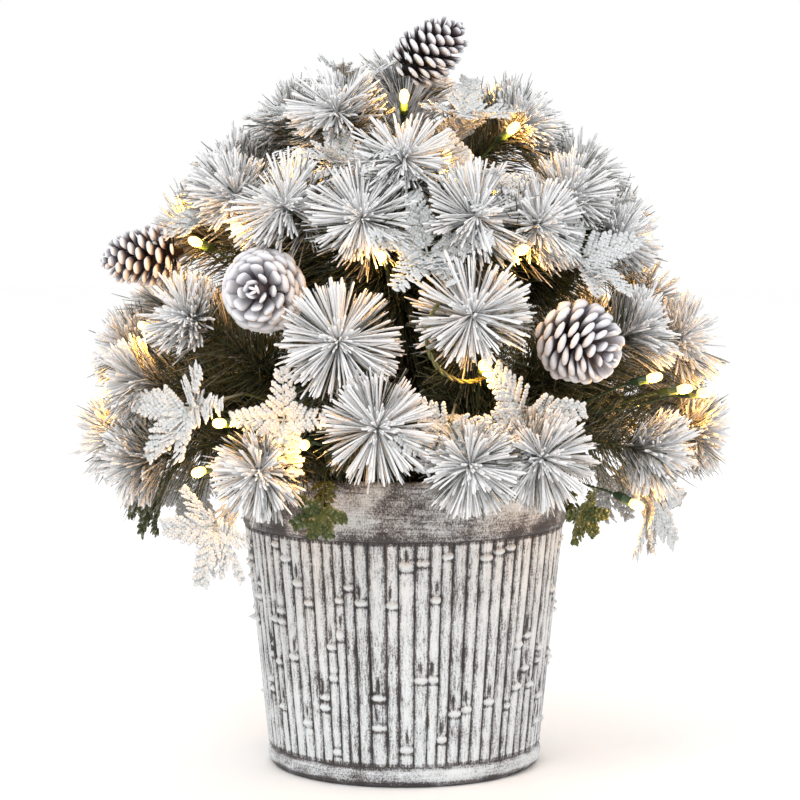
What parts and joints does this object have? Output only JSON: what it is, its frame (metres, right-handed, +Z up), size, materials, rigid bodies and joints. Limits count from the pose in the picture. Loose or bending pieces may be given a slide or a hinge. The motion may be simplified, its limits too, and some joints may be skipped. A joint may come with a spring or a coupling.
{
  "type": "artificial tabletop tree",
  "caption": "Round flocked tabletop tree with pine and cedar sprigs, cones and warm lamps on boughs that bend, in a cane-pattern pot with a battery case",
  "frame": {"origin": "centre of the pot's flat foot, on the surface it stands on", "axes": "+Z up along the trunk, -Y towards the front of the tree, +X to its right seen from the front"},
  "size_m": [0.4997, 0.4982, 0.5968],
  "materials": {
    "pot_wash": "moulded cane pattern with a brushed whitewash over dark grooves",
    "ballast": "cast plaster",
    "foam": "dry floral foam",
    "moss": "matted moss",
    "trunk": "dark brown moulded trunk wound with tape",
    "stem": "wire wound with green tape",
    "pine_needles": "green needles under thick white flock",
    "cedar_flock": "moulded cedar scales under white flock",
    "cone_scales": "brown scales with frosted tips",
    "lamps": "warm white lamp in a green holder",
    "light_wire": "green insulated lead",
    "case_plastic": "dark green moulded plastic",
    "cell_jacket": "shrink-wrapped steel can",
    "contact_metal": "plated spring steel",
    "board": "printed board with a small switch",
    "button": "soft moulded button"
  },
  "bodies": {
    "pot_and_trunk": {"pot": "pot_wash", "ballast": "ballast", "foam_plug": "foam", "moss_cover": "moss", "trunk": "trunk", "riser_wire": "light_wire", "battery_case": "case_plastic", "battery_cells": "cell_jacket", "battery_contacts": "contact_metal", "control_board": "board", "pine_crown": "pine_needles", "cedar_crown": "cedar_flock", "lamps_crown": "lamps", "cone_crown": "cone_scales"},
    "bough_lower_1": {"stem_lower_1": "stem", "pine_lower_1": "pine_needles", "cedar_lower_1": "cedar_flock", "lamps_lower_1": "lamps"},
    "bough_lower_2": {"stem_lower_2": "stem", "pine_lower_2": "pine_needles", "cedar_lower_2": "cedar_flock", "lamps_lower_2": "lamps", "cone_front_right": "cone_scales"},
    "bough_lower_3": {"stem_lower_3": "stem", "pine_lower_3": "pine_needles", "cedar_lower_3": "cedar_flock", "lamps_lower_3": "lamps", "cone_right": "cone_scales"},
    "bough_lower_4": {"stem_lower_4": "stem", "pine_lower_4": "pine_needles", "cedar_lower_4": "cedar_flock", "lamps_lower_4": "lamps"},
    "bough_lower_5": {"stem_lower_5": "stem", "pine_lower_5": "pine_needles", "cedar_lower_5": "cedar_flock", "lamps_lower_5": "lamps", "cone_back_left": "cone_scales"},
    "bough_upper_1": {"stem_upper_1": "stem", "pine_upper_1": "pine_needles", "cedar_upper_1": "cedar_flock", "lamps_upper_1": "lamps", "cone_front_left": "cone_scales"},
    "bough_upper_2": {"stem_upper_2": "stem", "pine_upper_2": "pine_needles", "cedar_upper_2": "cedar_flock", "lamps_upper_2": "lamps"},
    "bough_upper_3": {"stem_upper_3": "stem", "pine_upper_3": "pine_needles", "cedar_upper_3": "cedar_flock", "lamps_upper_3": "lamps", "cone_back": "cone_scales"},
    "bough_upper_4": {"stem_upper_4": "stem", "pine_upper_4": "pine_needles", "cedar_upper_4": "cedar_flock", "lamps_upper_4": "lamps", "cone_left": "cone_scales"},
    "battery_cover": {"battery_cover": "case_plastic"},
    "timer_button": {"timer_button": "button"}
  },
  "joints": [
    {"name": "bend_lower_1", "type": "hinge", "parent": "pot_and_trunk", "child": "bough_lower_1", "pos_m": [-0.00782, -0.01076, 0.2795], "axis": [-0.809, 0.5878, 0], "range_deg": [-6, 6]},
    {"name": "bend_lower_2", "type": "hinge", "parent": "pot_and_trunk", "child": "bough_lower_2", "pos_m": [0.00782, -0.01076, 0.2795], "axis": [-0.809, -0.5878, 0], "range_deg": [-6, 6]},
    {"name": "bend_lower_3", "type": "hinge", "parent": "pot_and_trunk", "child": "bough_lower_3", "pos_m": [0.01265, 0.00411, 0.2795], "axis": [0.309, -0.9511, 0], "range_deg": [-6, 6]},
    {"name": "bend_lower_4", "type": "hinge", "parent": "pot_and_trunk", "child": "bough_lower_4", "pos_m": [0, 0.0133, 0.2795], "axis": [1, 0, 0], "range_deg": [-6, 6]},
    {"name": "bend_lower_5", "type": "hinge", "parent": "pot_and_trunk", "child": "bough_lower_5", "pos_m": [-0.01265, 0.00411, 0.2795], "axis": [0.309, 0.9511, 0], "range_deg": [-6, 6]},
    {"name": "bend_upper_1", "type": "hinge", "parent": "pot_and_trunk", "child": "bough_upper_1", "pos_m": [0, -0.0133, 0.3395], "axis": [-1, 0, 0], "range_deg": [-5, 8]},
    {"name": "bend_upper_2", "type": "hinge", "parent": "pot_and_trunk", "child": "bough_upper_2", "pos_m": [0.0133, 0, 0.3395], "axis": [0, -1, 0], "range_deg": [-5, 8]},
    {"name": "bend_upper_3", "type": "hinge", "parent": "pot_and_trunk", "child": "bough_upper_3", "pos_m": [0, 0.0133, 0.3395], "axis": [1, 0, 0], "range_deg": [-5, 8]},
    {"name": "bend_upper_4", "type": "hinge", "parent": "pot_and_trunk", "child": "bough_upper_4", "pos_m": [-0.0133, 0, 0.3395], "axis": [0, 1, 0], "range_deg": [-5, 8]},
    {"name": "cover_slide", "type": "slide", "parent": "pot_and_trunk", "child": "battery_cover", "axis": [0, 0, 1], "range_m": [0, 0.022]},
    {"name": "button_press", "type": "slide", "parent": "pot_and_trunk", "child": "timer_button", "axis": [0, 0, -1], "range_m": [0, 0.0012], "stiffness_N_per_m": 400, "springref_m": -0.0005}
  ]
}
